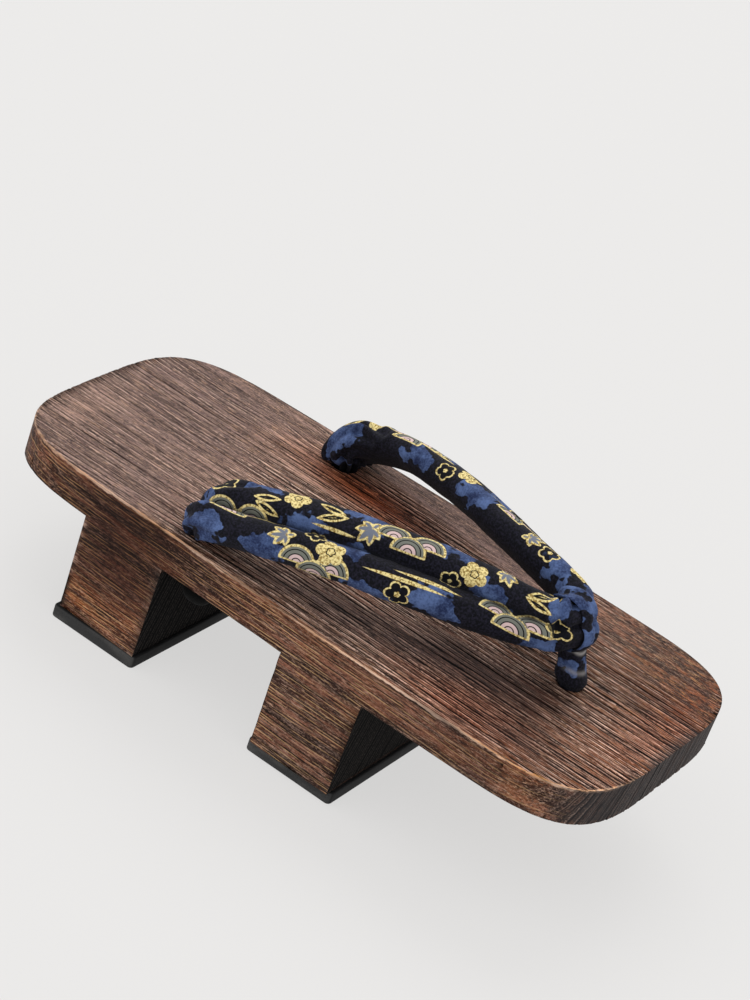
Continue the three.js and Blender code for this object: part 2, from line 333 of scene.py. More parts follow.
def grain_at(x, y, z):
    """The grain at points: the ring coordinate in millimetres, and how deep the brush cut, 0 to 1."""
    flat_sawn = soft_step(y, 22, 52) * soft_step(z, BOARD_BOTTOM, BOARD_TOP)
    wander = 2.4 * noise_field((x / 130, y / 60, z / 60), 1)
    figure = flat_sawn * 3.0 * noise_field((x / 24, y / 13, z / 40), 2)
    ring = y - RING_LEAN * z + wander + figure
    wave = noise_field((ring / 2.7, x / 190, z * 0.0), 3)
    broken = soft_step(noise_field((x / 30, ring / 3.2, z * 0), 4), -0.45, 0.2) * (1.0 - 0.65 * flat_sawn)
    return ring, np.exp(-((wave / 0.11) ** 2)) * (0.25 + 0.75 * broken)


def soft_places(x, y, places):
    """The sum of soft oval spots, each with its own strength."""
    total = np.zeros(x.shape)
    for along, across, half_length, half_width, slope, strength in places:
        aside = y - across - slope * (x - along)
        total += strength * np.exp(-(((x - along) / half_length) ** 2) - (aside / half_width) ** 2)
    return total


def paint_points(piece, name, values):
    """Keeps one number for each vertex under a name that the material reads."""
    layer = piece.data.attributes.new(name, "FLOAT", "POINT")
    layer.data.foreach_set("value", np.asarray(values, np.float32))


def read_points(mesh):
    """Vertex places and normals of a mesh as two arrays."""
    places = np.empty(len(mesh.vertices) * 3, np.float32)
    normals = np.empty(len(mesh.vertices) * 3, np.float32)
    mesh.vertices.foreach_get("co", places)
    mesh.vertices.foreach_get("normal", normals)
    return places.reshape(-1, 3).astype(float), normals.reshape(-1, 3).astype(float)


def steps_between(low, high, step):
    """Evenly spaced places between two ends, ends left out."""
    count = max(2, round((high - low) / step))
    return np.linspace(low, high, count + 1)[1:-1]


def mix_colour(tree, share, first, second, blend="MIX"):
    """A colour between two, by a share from 0 to 1."""
    inputs = {0: share, 6: first, 7: second}
    return add_node(tree, "ShaderNodeMix", inputs, data_type="RGBA", blend_type=blend).outputs[2]


def between(tree, value, low, high, start=0.0, end=1.0):
    """Spreads the span from low to high over start to end, smoothly and clamped."""
    inputs = {"Value": value, "From Min": low, "From Max": high, "To Min": start, "To Max": end}
    return add_node(tree, "ShaderNodeMapRange", inputs, interpolation_type="SMOOTHSTEP").outputs["Result"]


def maths(tree, operation, first, second=0.0):
    """One step of arithmetic on sockets or numbers."""
    return add_node(tree, "ShaderNodeMath", {0: first, 1: second}, operation=operation).outputs[0]


def times(tree, first, second):
    """One socket or number times another."""
    return maths(tree, "MULTIPLY", first, second)


def stretched_noise(tree, place, scale, turn=(0.0, 0.0, 0.0), detail=3.0, roughness=0.55):
    """Noise on the piece's own coordinates, scaled differently along each axis after a turn."""
    turned = add_node(tree, "ShaderNodeMapping", {"Vector": place, "Rotation": turn})
    scaled = add_node(tree, "ShaderNodeMapping", {"Vector": turned.outputs["Vector"], "Scale": scale})
    inputs = {"Vector": scaled.outputs["Vector"], "Scale": 1.0, "Detail": detail, "Roughness": roughness}
    return add_node(tree, "ShaderNodeTexNoise", inputs).outputs[0]


def attribute(tree, name):
    """A number that paint_points has kept on the piece."""
    return add_node(tree, "ShaderNodeAttribute", attribute_name=name).outputs["Fac"]


def ring_lines(tree, ring, per_mm, inner, outer, shift=0.0):
    """Thin lines at uneven distances across the rings, half widths in millimetres: 1 on a line."""
    count = times(tree, maths(tree, "ADD", ring, shift), per_mm)
    inputs = {"W": count, "Scale": 1.0, "Randomness": 1.0}
    cells = add_node(
        tree, "ShaderNodeTexVoronoi", inputs, voronoi_dimensions="1D", feature="DISTANCE_TO_EDGE"
    )
    return between(tree, cells.outputs["Distance"], inner * per_mm, outer * per_mm, 1.0, 0.0)


def broken_up(tree, ring, length, across, along, low, high):
    """Stretches of the rings, 0 to 1, that leave lines unbroken for a while and then stop them."""
    steps = {0: times(tree, ring, across), 1: times(tree, length, along)}
    sheet = add_node(tree, "ShaderNodeCombineXYZ", steps)
    inputs = {"Vector": sheet.outputs[0], "Scale": 1.0, "Detail": 2.0, "Roughness": 0.6}
    value = add_node(tree, "ShaderNodeTexNoise", inputs, noise_dimensions="2D").outputs[0]
    return between(tree, value, low, high)


def charred_wood():
    """Brushed and charred wood: pale hard rings, dark soft ones, fibres, and warmer and greyer places."""
    material, tree = new_material("charred_wood")
    place = add_node(tree, "ShaderNodeTexCoord").outputs["Object"]
    lean = (math.atan(RING_LEAN), 0.0, 0.0)
    dashes = stretched_noise(tree, place, (120, 1700, 1500), lean, roughness=0.7)
    flecks = stretched_noise(tree, place, (170, 1900, 1800), (0.9, 0, 0), roughness=0.7)
    grit = stretched_noise(tree, place, (850, 2300, 2300), detail=2.0, roughness=0.7)
    mottle = stretched_noise(tree, place, (210, 500, 500), roughness=0.65)
    streaks = stretched_noise(tree, place, (13, 300, 260), lean)
    clouds = stretched_noise(tree, place, (18, 52, 60))
    sway = stretched_noise(tree, place, (38, 210, 210), detail=1.0)
    ring = maths(tree, "ADD", attribute(tree, "ring"), sway)
    layer = maths(tree, "ADD", attribute(tree, "layer"), sway)
    length = add_node(tree, "ShaderNodeSeparateXYZ", {0: place}).outputs["X"]
    brushed = attribute(tree, "brushed")
    figured = attribute(tree, "figured")
    flank = attribute(tree, "flank")
    warm = attribute(tree, "warm")
    strong = times(tree, broken_up(tree, ring, length, 0.5, 36.0, 0.40, 0.53), brushed)
    weak = times(tree, broken_up(tree, ring, length, 1.1, 130.0, 0.42, 0.55), brushed)
    beside = times(tree, broken_up(tree, layer, length, 1.0, 70.0, 0.46, 0.60), flank)
    groove = times(tree, ring_lines(tree, ring, 0.40, 0.20, 0.50), strong)
    # Painted highlight: a pale line along the lit edge beside each groove.
    ridge_highlight = times(tree, ring_lines(tree, ring, 0.40, 0.14, 0.42, 0.7), strong)
    crumbled = maths(tree, "SUBTRACT", flecks, times(tree, grit, 0.5))
    ridge_highlight = times(tree, ridge_highlight, between(tree, crumbled, 0.18, 0.32))
    scratch = times(tree, ring_lines(tree, ring, 1.0, 0.08, 0.25), weak)
    gleam = times(tree, ring_lines(tree, ring, 1.0, 0.06, 0.22, 0.4), weak)
    side_groove = times(tree, ring_lines(tree, layer, 0.75, 0.10, 0.36), beside)
    side_gleam = times(tree, ring_lines(tree, layer, 0.75, 0.06, 0.26, 0.5), beside)
    hard = mix_colour(tree, between(tree, clouds, 0.36, 0.64), paint(92, 56, 44), paint(142, 94, 74))
    hard = mix_colour(tree, warm, hard, paint(150, 91, 52))
    # Greyer: a painted sheen towards the heel, the grey of the painted shade strip, and a grey patch on the
    # far side.
    hard = mix_colour(tree, attribute(tree, "grey"), hard, paint(136, 112, 107))
    # Painted light: paler where the painted light places lie.
    hard = mix_colour(tree, attribute(tree, "pale"), hard, paint(196, 158, 140))
    soft = mix_colour(tree, warm, paint(46, 28, 22), paint(62, 29, 16))
    lively = between(tree, attribute(tree, "grey"), 0.0, 1.0, 0.92, 0.6)
    band = times(tree, between(tree, streaks, 0.42, 0.60), lively)
    wood = mix_colour(tree, band, hard, soft)
    spots = times(tree, between(tree, mottle, 0.46, 0.56, 0.0, 0.85), figured)
    wood = mix_colour(tree, spots, wood, paint(44, 29, 25))
    fleck = mix_colour(tree, warm, paint(194, 156, 136), paint(208, 160, 100))
    for fibre, low, high, strength, colour in (
        (dashes, 0.50, 0.60, 0.8, paint(32, 22, 19)),
        (flecks, 0.55, 0.66, 0.75, fleck),
        (grit, 0.50, 0.62, 0.45, paint(32, 22, 19)),
        (grit, 0.46, 0.34, 0.35, paint(192, 156, 136)),
    ):
        wood = mix_colour(tree, between(tree, fibre, low, high, 0.0, strength), wood, colour)
    # The gleam and ridge lines are painted highlights on the edges of the grooves beside them; the other
    # lines are dark grain.
    for line, strength, colour in (
        (side_gleam, 0.75, paint(204, 164, 116)),
        (side_groove, 0.9, paint(28, 16, 12)),
        (gleam, 0.7, paint(212, 176, 156)),
        (scratch, 0.85, paint(28, 18, 15)),
        (ridge_highlight, 0.95, paint(238, 204, 184)),
        (attribute(tree, "cut"), 0.3, paint(40, 24, 19)),
        (groove, 1.0, paint(14, 9, 7)),
    ):
        wood = mix_colour(tree, times(tree, line, strength), wood, colour)
    # Painted shade: the wood is multiplied darker by the painted shade field.
    wood = mix_colour(tree, attribute(tree, "shade"), wood, paint(146, 134, 131), "MULTIPLY")
    wood = mix_colour(tree, attribute(tree, "ember"), wood, paint(242, 156, 100), "MULTIPLY")
    # Painted highlight: a ragged pale line along the near top edge, warmer in places.
    ragged = times(tree, maths(tree, "SUBTRACT", mottle, 0.5), 2.2)
    rim = maths(tree, "ABSOLUTE", maths(tree, "ADD", attribute(tree, "rim"), ragged))
    lightening = times(tree, between(tree, rim, 0.35, 1.0, 1.0, 0.0), attribute(tree, "rim_highlight"))
    pale = mix_colour(tree, warm, paint(236, 200, 176), paint(226, 158, 92))
    wood = mix_colour(tree, lightening, wood, pale)
    # Darker grey on the end walls, most at the toe.
    wood = mix_colour(tree, attribute(tree, "end_wall_grey"), wood, paint(50, 48, 49))
    ash = ring_lines(tree, ring, 0.5, 0.15, 0.6, 1.3)
    ash = times(tree, ash, between(tree, dashes, 0.40, 0.58))
    # Charred black with painted shade on the tooth walls and, less, the underside, which lie in shadow under
    # the board.
    black = mix_colour(tree, ash, paint(4, 4, 4), paint(52, 47, 45))
    wood = mix_colour(tree, attribute(tree, "char_and_shade"), wood, black)
    heights = maths(tree, "SUBTRACT", times(tree, flecks, 0.6), dashes)
    for line, depth in ((groove, 0.9), (scratch, 0.5), (side_groove, 0.5), (grit, 0.4)):
        heights = maths(tree, "SUBTRACT", heights, times(tree, line, depth))
    bump = add_node(tree, "ShaderNodeBump", {"Strength": 0.7, "Distance": 0.0005, "Height": heights})
    gloss = maths(tree, "MAXIMUM", between(tree, groove, 0.0, 1.0, 0.58, 0.88), attribute(tree, "char_and_shade"))
    finish_material(
        tree, Base_Color=wood, Roughness=gloss, Specular_IOR_Level=0.1, Normal=bump.outputs["Normal"]
    )
    return material


block = drilled(carved_block())
cut_along(block, 0, steps_between(-BOARD_LENGTH / 2, BOARD_LENGTH / 2, LENGTH_STEP))
cut_along(block, 2, steps_between(TOOTH_FOOT, BOARD_TOP, WALL_STEP))
cut_along(block, 1, steps_between(-BOARD_HALF_WIDTH, BOARD_HALF_WIDTH, GRAIN_STEP))
wood_block = mesh_object("wooden_block", block, charred_wood())
points, normals = read_points(wood_block.data)
inside = inside_outline(points[:, 0], points[:, 1])
narrowing = np.maximum(0.0, TAPER_START - points[:, 0]) / TAPER_SPAN
points[:, 1] *= 1.0 - TAPER_DROP * narrowing ** 1.5 / BOARD_HALF_WIDTH
x, y, z = points.T
ring, cut = grain_at(x, y, z)
from_hole = np.min([np.hypot(x - hole_x, y - hole_y) for hole_x, hole_y in HOLES], axis=0)
in_hole = from_hole < HOLE_RADIUS + HOLE_RIM
facing_up = soft_step(normals[:, 2], 0.4, 0.9)
heel_turn = 0.35 * soft_step(-x, 80, 100)
flank = soft_step(np.abs(normals[:, 1]) + heel_turn, 0.55, 0.9) * (1.0 - facing_up)
on_board = soft_step(z, BOARD_BOTTOM - 2, BOARD_BOTTOM + 1)
toe_wall = soft_step(normals[:, 0], 0.35, 0.9) * on_board
heel_wall = soft_step(-normals[:, 0], 0.45, 0.95) * on_board
tooth_wall = soft_step(np.abs(normals[:, 0]), 0.45, 0.95) * (1.0 - on_board)
underside = soft_step(-normals[:, 2], 0.3, 0.9)
depth = np.where(in_hole, 0.0, CUT_DEPTH * cut) * (1.0 - 0.7 * tooth_wall)
# Painted shade: on the top, the painted shade places, mostly the strap's and the post's shadow; on the side
# walls, most over the rear tooth and less ahead of the front tooth.
rear_side = np.exp(-(((x + 66) / 36) ** 2)) * soft_step(z, 12, 32)
front_side = soft_step(x, 5, 25) * soft_step(-x, -108, -85)
streaky = 0.8 + 0.5 * noise_field((x / 40, y / 3.0, z / 40), 10)
shade = soft_places(x, y, PAINTED_SHADE_PLACES) * facing_up * streaky + (rear_side + 0.28 * front_side) * flank
near_edge = soft_step(-y, 18, 44) * (0.65 + 0.35 * soft_step(x, -75, -30))
patches = np.clip(0.4 + 1.2 * noise_field((x / 16, y / 5, z / 20), 11), 0.0, 1.0)
rim_glow = soft_step(-y, 47, 57) * patches
warm = 0.2 + 0.35 * soft_step(x, 60, 125) + 0.6 * rim_glow + soft_places(x, y, WARM_PLACES)
low_rear = soft_step(-x, 40, 60) * soft_step(-z, -26, -10)
rear_glow = soft_step(-x, -12, 15)
# A painted sheen: towards the heel the top turns greyer and its grain lines calmer.
heel_sheen = soft_step(-x, 30, 80)
shade_strip_grey = soft_places(x, y, SHADE_STRIPS)
far_patch = soft_step(y - 44.0 + 0.18 * (x - 10), -3, 3) * soft_step(-np.abs(x - 5), -52, -36)
toe_corner = soft_step(y - 34.0 + 0.25 * (x - 90), -6, 8) * soft_step(x, 52, 80)
heel_corner = soft_step(y, 36, 54) * soft_step(-x, 52, 70)
figured = np.clip(toe_corner + 0.5 * heel_corner, 0.0, 1.0) * facing_up
calm = (0.5 * heel_sheen + 0.92 * far_patch + 0.85 * figured) * facing_up
# Charred black with painted shade: the tooth walls, and less the underside, lie in shadow under the board.
char_and_shade = tooth_wall + 0.7 * underside
warm_sides = np.clip(0.4 * patches + 0.4 * low_rear, 0.0, 1.0)
for name, values in {
    "ring": ring,
    "layer": z + 0.06 * y + 1.6 * noise_field((x / 70, y / 40, z / 25), 12),
    "cut": cut * (1.0 - 0.8 * flank),
    "flank": flank * (1.0 - 0.5 * soft_step(x, 45, 85)),
    "rim": inside - (BOARD_TOP - z),
    # Painted highlight along the near top edge.
    "rim_highlight": near_edge * np.clip(0.75 + 0.8 * noise_field((x / 24, y / 9, z / 9), 9), 0.2, 1.0),
    "shade": np.clip(shade, 0.0, 1.0),
    "end_wall_grey": 0.9 * toe_wall + 0.4 * heel_wall,
    "char_and_shade": np.clip(char_and_shade, 0.0, 1.0),
    "warm": np.clip(warm, 0.0, 1.0) * facing_up + warm_sides * (1.0 - facing_up),
    "ember": np.clip(soft_places(x, y, EMBER_PLACES), 0.0, 1.0) * facing_up + 0.15 * rear_glow * flank,
    # Painted light: paler places on the top.
    "pale": np.clip(soft_places(x, y, PAINTED_LIGHT_PLACES), 0.0, 1.0) * facing_up,
    "grey": np.clip(0.9 * heel_sheen + 0.8 * far_patch + 0.95 * shade_strip_grey, 0.0, 0.95) * facing_up,
    "figured": figured,
    "brushed": np.clip(1.0 - calm - 0.8 * tooth_wall, 0.05, 1.0) * (1.0 - 0.9 * flank),
}.items():
    paint_points(wood_block, name, values)
points -= normals * depth[:, None]
wood_block.data.vertices.foreach_set("co", (points * MM).astype(np.float32).ravel())
wood_block.data.update()
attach(wood_block, "root")
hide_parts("wood_block")


# The treads. A flat pad of charcoal rubber is glued under each tooth and trimmed a little proud of its front
# and back, with softly rounded corners.
PADS = (("front_pad", "front_tread"), ("rear_pad", "rear_tread"))
PAD_CORNER = 1.8
PAD_EDGE = 0.7
PAD_RIM_ANGLE = math.radians(60)
PAD_SHADE_ANGLE = math.radians(40)


def tread_rubber():
    """Matt moulded rubber with a fine crumb and a rubbed mottle, and painted light that makes its side faces
    paler than its ends.
    """
    material, tree = new_material("tread_rubber")
    place = add_node(tree, "ShaderNodeTexCoord").outputs["Object"]
    crumb = stretched_noise(tree, place, (1800, 1800, 1800))
    lightening = stretched_noise(tree, place, (60, 60, 200), detail=4.0)
    dark = mix_colour(tree, between(tree, lightening, 0.42, 0.72), paint(14, 14, 15), paint(30, 30, 31))
    lit_side_grey = mix_colour(tree, between(tree, lightening, 0.42, 0.72), paint(48, 48, 48), paint(70, 69, 68))
    rubber = mix_colour(tree, attribute(tree, "lit_sides"), dark, lit_side_grey)
    rubber = mix_colour(tree, between(tree, crumb, 0.5, 0.75, 0.0, 0.5), rubber, paint(24, 24, 25))
    bump = add_node(tree, "ShaderNodeBump", {"Strength": 0.35, "Distance": 0.0002, "Height": crumb})
    finish_material(
        tree, Base_Color=rubber, Roughness=0.72, Specular_IOR_Level=0.2, Normal=bump.outputs["Normal"]
    )
    return material


rubber = tread_rubber()
for node, name in PADS:
    low, high = (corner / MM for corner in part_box(node))
    shape = bmesh.new()
    bmesh.ops.create_cube(shape, size=1.0)
    bmesh.ops.scale(shape, vec=high - low, verts=shape.verts[:])
    bmesh.ops.translate(shape, vec=(low + high) / 2, verts=shape.verts[:])
    corners = [edge for edge in shape.edges if abs((edge.verts[0].co - edge.verts[1].co).z) > 1.0]
    bmesh.ops.bevel(
        shape, geom=corners, offset=PAD_CORNER, affect="EDGES", segments=6, profile=0.5, material=-1
    )
    rims = [edge for edge in shape.edges if edge.calc_face_angle(0.0) > PAD_RIM_ANGLE]
    bmesh.ops.bevel(shape, geom=rims, offset=PAD_EDGE, affect="EDGES", segments=3, profile=0.5, material=-1)
    bmesh.ops.scale(shape, vec=(MM, MM, MM), verts=shape.verts[:])
    tread = mesh_object(name, in_order(shape), rubber)
    tread.data.set_sharp_from_angle(angle=PAD_SHADE_ANGLE)
    facing = read_points(tread.data)[1]
    # Painted light: the pad's side faces are paler than its front, back and bottom.
    paint_points(tread, "lit_sides", soft_step(np.abs(facing[:, 1]), 0.4, 0.8))
    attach(tread, "root")
    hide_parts(node)


# The strap. One tube of printed cotton, padded with wadding and with a seam drawn in along its face, runs
# from one heel hole round the toe to the other. Its gathered ends go down through the board and are
# knotted beneath it.
STRAP_ROWS = np.array((
    # x, y, z over the board, out, wide, thick, tilt, groove: millimetres and degrees, from the toe to a knot
    (80.5, 0, 22.6, 0, 16.5, 13, 64, 1),
    (77.3, 8.2, 22.6, 36, 18, 12.2, 62, 1.4),
    (68.5, 15, 22.8, 62, 20.8, 11.8, 54, 2.2),
    (53, 20.9, 22.9, 70, 24, 12.4, 41, 3),
    (38, 26.5, 23, 70, 26.5, 13, 34, 3.4),
    (22.8, 32.2, 22.6, 71, 27, 13, 32, 3.4),
    (7.6, 37.4, 21.8, 72, 27, 13, 32, 3.4),
    (-7.6, 42.2, 20.1, 75, 27, 13, 31, 3.4),
    (-20, 45.2, 17.8, 79, 27, 13, 29, 3.4),
    (-31.5, 46.4, 14.4, 85, 27, 14, 26, 3.2),
    (-40.4, 45.6, 10.6, 91, 26.4, 15, 20, 3),
    (-43.6, 44.4, 6.2, 92, 24, 16.4, 7, 2.2),
    (-42.9, 43.8, 3, 90, 18.6, 13, 0, 0.8),
    (-42.5, 43.5, 1, 90, 8.8, 8.2, 0, 0),
    (-42.5, 43.5, -2, 90, 7.6, 7.6, 0, 0),
    (-42, 43.5, -14, 90, 7.4, 7.4, 0, 0),
    (-41.2, 43.5, -17, 90, 8, 8, 0, 0),
    (-40, 43.5, -20, 90, 13, 11.4, 0, 0),
    (-39.4, 43.5, -23.4, 90, 14, 12, 0, 0),
    (-39, 43.5, -27, 90, 10, 9, 0, 0),
    (-39, 43.5, -28.4, 90, 4, 4, 0, 0),
))
STRAP_ALONG = 800
STRAP_ROUND = 120
SECTION_POWER = 2.4
SEAM_WIDTH = 0.2
SEAM_DEPTH = 1.6
FACE_CROWD = 0.42


def through_rows(rows, at):
    """Reads a table between its rows along smooth curves, at counting rows from 0."""
    slopes = np.gradient(rows, axis=0)
    first = np.clip(at.astype(int), 0, len(rows) - 2)
    t = (at - first)[:, None]
    start, end = rows[first], rows[first + 1]
    leave, arrive = slopes[first], slopes[first + 1]
    return (
        start * (2 * t ** 3 - 3 * t ** 2 + 1) + leave * (t ** 3 - 2 * t ** 2 + t)
        + end * (3 * t ** 2 - 2 * t ** 3) + arrive * (t ** 3 - t ** 2)
    )


def unit(vectors):
    """Each row of an array at length one."""
    return vectors / np.linalg.norm(vectors, axis=-1, keepdims=True)


def even_stations(rows, count):
    """Row numbers evenly along the line of a table that starts with places, and how far along each is."""
    at = np.linspace(0, len(rows) - 1, 4000)
    line = through_rows(rows, at)[:, :3]
    run = np.concatenate(([0.0], np.cumsum(np.linalg.norm(np.diff(line, axis=0), axis=1))))
    wanted = np.linspace(0, run[-1], count)
    return np.interp(wanted, run, at), wanted


def both_arms(rows):
    """The strap's table from the right knot over the toe to the left knot."""
    mirrored = rows[:0:-1] * np.array((1, -1, 1, -1, 1, 1, 1, 1))
    return np.vstack((mirrored, rows))


def strap_surface(at, turn):
    """Points of the strap at row numbers at and at angles turn round its section, with no creases yet."""
    table = through_rows(both_arms(STRAP_ROWS), at)
    middle = table[:, :3] + np.array((0.0, 0.0, BOARD_TOP))
    along = unit(np.gradient(middle, axis=0))
    out, wide, thick, tilt, groove = table[:, 3:].T
    level = np.column_stack((np.cos(np.radians(out)), np.sin(np.radians(out)), 0.0 * out))
    level = unit(level - along * np.sum(level * along, axis=1, keepdims=True))
    upright = np.cross(level, along)
    lean = np.radians(tilt)[:, None]
    across = level * np.cos(lean) - upright * np.sin(lean)
    face = upright * np.cos(lean) + level * np.sin(lean)
    share = np.sign(np.cos(turn)) * np.abs(np.cos(turn)) ** (2 / SECTION_POWER)
    rise = np.sign(np.sin(turn)) * np.abs(np.sin(turn)) ** (2 / SECTION_POWER)
    sunk = np.exp(-((np.abs(share) / SEAM_WIDTH) ** 1.3)) * (rise > 0)
    height = thick[:, None] / 2 * rise - SEAM_DEPTH * groove[:, None] * sunk
    places = middle[:, None] + across[:, None] * (wide[:, None, None] / 2 * share[:, :, None])
    return places + face[:, None] * height[:, :, None]


def tube_shape(rings, closed=False):
    """A tube through rings of points, its ends capped or joined: a grid wrapped round and stitched."""
    count, around = rings.shape[:2]
    rows = np.concatenate((rings, rings[:1])) if closed else rings
    wrapped = np.concatenate((rows, rows[:, :1]), axis=1).reshape(-1, 3)
    shape = bmesh.new()
    bmesh.ops.create_grid(shape, x_segments=around, y_segments=len(rows) - 1, size=1.0)
    shape.verts.ensure_lookup_table()
    station = shape.verts.layers.int.new("station")
    for number, (vert, place) in enumerate(zip(shape.verts, wrapped)):
        row, column = divmod(number, around + 1)
        vert.co = place
        vert[station] = row % count * around + column % around
    bmesh.ops.remove_doubles(shape, verts=shape.verts[:], dist=1e-6)
    rims = [edge for edge in shape.edges if edge.is_boundary]
    bmesh.ops.holes_fill(shape, edges=rims, sides=0)
    bmesh.ops.recalc_face_normals(shape, faces=shape.faces[:])
    return shape


def local(run, side, centre, turn):
    """Coordinates about a motif's centre, turned by an angle in degrees."""
    ahead, aside = run - centre[0], side - centre[1]
    c, s = math.cos(math.radians(turn)), math.sin(math.radians(turn))
    return ahead * c + aside * s, aside * c - ahead * s


def blossom(run, side, centre, size, turn):
    """Distance outside a five-petalled flower, in millimetres, less than 0 inside."""
    a, b = local(run, side, centre, turn)
    petal = np.abs(np.cos(PETALS / 2 * np.arctan2(b, a))) ** 0.6
    return np.hypot(a, b) - size * (0.62 + 0.38 * petal)


def leaf(run, side, centre, size, turn):
    """Distance outside a maple leaf: pointed lobes that spread from a short stalk."""
    distance = np.full(run.shape, FAR_AWAY)
    for spread, share in LEAF_LOBES:
        angle = math.radians(turn + spread)
        middle = (
            centre[0] + size * share / 2 * math.cos(angle),
            centre[1] + size * share / 2 * math.sin(angle),
        )
        lobe = almond(run, side, middle, size * share * 1.15, size * (0.2 + 0.2 * share), turn + spread)
        distance = np.minimum(distance, lobe)
    return distance


def almond(run, side, centre, length, width, turn):
    """Distance outside a leaf-shaped blade, pointed at both ends."""
    a, b = local(run, side, centre, turn)
    return 0.85 * (np.abs(b) - width / 2 * (1.0 - (2.0 * a / length) ** 2))


def stroke(run, side, start, end, width):
    """Distance outside a brush stroke that thins to both ends."""
    middle = ((start[0] + end[0]) / 2, (start[1] + end[1]) / 2)
    length = math.hypot(end[0] - start[0], end[1] - start[1])
    turn = math.degrees(math.atan2(end[1] - start[1], end[0] - start[0]))
    return almond(run, side, middle, length * 1.1, width, turn)


def wave_fan(run, side, centre, radius, turn):
    """A half disc of rings as (distance outside it, 0 at its middle to 1 at its rim)."""
    a, b = local(run, side, centre, turn)
    reach = np.hypot(a, b)
    return np.maximum(reach - radius, -a), reach / radius


# The print is charted on the flat cloth, in millimetres: along each arm from the toe, and across it
# from the seam, less than 0 on the inner half. Every motif is a common one: clouds, wave fans in groups of
# three, plum blossom, maple, bamboo leaves and long lines of mist.
RIGHT, LEFT = -1, 1
PETALS = 5
HEART_SHARE = 0.32
HEART_TURN = 36
LEAF_LOBES = ((0, 1.0), (36, 0.9), (-40, 0.82), (78, 0.66), (-84, 0.6), (180, 0.5))
CLOUDS = (
    # arm, along, across, half length, half width
    (RIGHT, 8, -8, 7, 6), (RIGHT, 13, 11, 7, 5), (RIGHT, 33, -3, 8, 5), (RIGHT, 49, -14, 8, 5),
    (RIGHT, 52, 12, 9, 6), (RIGHT, 80, -14, 9, 6), (RIGHT, 84, 4, 9, 5), (RIGHT, 104, -2, 8, 6),
    (RIGHT, 112, 15, 9, 5), (RIGHT, 121, -14, 8, 5), (RIGHT, 138, 2, 6, 8), (RIGHT, 134, 14, 8, 6),
    (RIGHT, 30, 22, 8, 4),
    (RIGHT, 70, -22, 9, 4), (RIGHT, 76, 20, 9, 4), (RIGHT, 100, -22, 9, 4),
    (LEFT, 6, -5, 6, 6), (LEFT, 22, -15, 8, 6), (LEFT, 26, 6, 8, 5), (LEFT, 41, -4, 8, 5),
    (LEFT, 68, -16, 8, 6), (LEFT, 72, 8, 8, 5), (LEFT, 86, -5, 8, 5), (LEFT, 99, -18, 8, 5),
    (LEFT, 106, 8, 9, 5), (LEFT, 120, -6, 8, 5), (LEFT, 137, -14, 8, 7), (LEFT, 138, 5, 7, 7),
    (LEFT, 52, 20, 9, 4), (LEFT, 90, 22, 9, 4),
)
FAN_RADIUS = 6.2
FAN_STEPS = ((-FAN_RADIUS, 3.4), (FAN_RADIUS, 3.4), (0.0, 0.0))
FAN_GROUPS = (
    # arm, along, across
    (RIGHT, 24, 9), (RIGHT, 66, -5), (RIGHT, 128, 6), (RIGHT, 94, 20),
    (LEFT, 54, -13), (LEFT, 110, -15), (LEFT, 84, 8), (LEFT, 20, 16),
)
FANS = [
    (arm, (along + ahead, across + arm * back), FAN_RADIUS, 90 * arm)
    for arm, along, across in FAN_GROUPS
    for ahead, back in FAN_STEPS
]
BLOSSOMS = (
    # arm, along, across, size, turn
    (RIGHT, 42, -7, 4.8, 10), (RIGHT, 49, -1, 3.8, 40), (RIGHT, 90, 9, 5.0, 0), (RIGHT, 97, 3, 3.8, 20),
    (RIGHT, 108, -12, 4.6, 30), (RIGHT, 137, -10, 4.0, 15), (RIGHT, 10, 2, 3.8, 0), (RIGHT, 64, 15, 4.4, 10),
    (LEFT, 18, -7, 4.4, 0), (LEFT, 30, -13, 3.8, 20), (LEFT, 78, -11, 4.8, 10), (LEFT, 86, -17, 3.8, 35),
    (LEFT, 126, -9, 4.4, 0), (LEFT, 62, 9, 4.4, 20), (LEFT, 106, 13, 4.4, 40),
)
GILT_BLOSSOMS = ((RIGHT, 42), (RIGHT, 90), (RIGHT, 108), (LEFT, 78), (LEFT, 18), (LEFT, 126))
LEAVES = (
    # arm, along, across, size, turn
    (RIGHT, 80, -9, 6.4, 60), (RIGHT, 32, -13, 5.4, 120), (RIGHT, 106, 8, 5.6, 20), (LEFT, 40, -14, 5.4, 140),
    (LEFT, 97, -7, 5.6, 200), (LEFT, 44, 10, 5.2, 30),
)
BLADES = (
    # arm, along, across, length, width, turn
    (RIGHT, 17, -9, 10, 2.4, 10), (RIGHT, 18, -5.5, 9, 2.2, 340), (RIGHT, 94, -8, 10, 2.4, 20),
    (RIGHT, 95, -11.5, 9, 2.2, 350), (RIGHT, 117, -4, 9, 2.4, 160), (RIGHT, 118, -8, 9, 2.2, 190),
    (LEFT, 68, -7, 10, 2.4, 15), (LEFT, 69, -3.5, 9, 2.2, 340), (LEFT, 134, -6, 9, 2.4, 170),
)
STROKES = (
    # arm, start, end, width
    (RIGHT, (44, 6), (66, 7), 1.3), (RIGHT, (50, 9), (76, 10), 1.3), (RIGHT, (84, -3.5), (100, -4), 1.2),
    (RIGHT, (2, -13), (14, -14), 1.2), (RIGHT, (108, 1.5), (124, 1), 1.2), (LEFT, (28, -6), (46, -7), 1.3),
    (LEFT, (34, -3), (56, -4), 1.3), (LEFT, (88, -11.5), (104, -12), 1.2), (LEFT, (112, -3), (130, -3), 1.2),
)
FAR_AWAY = 60.0


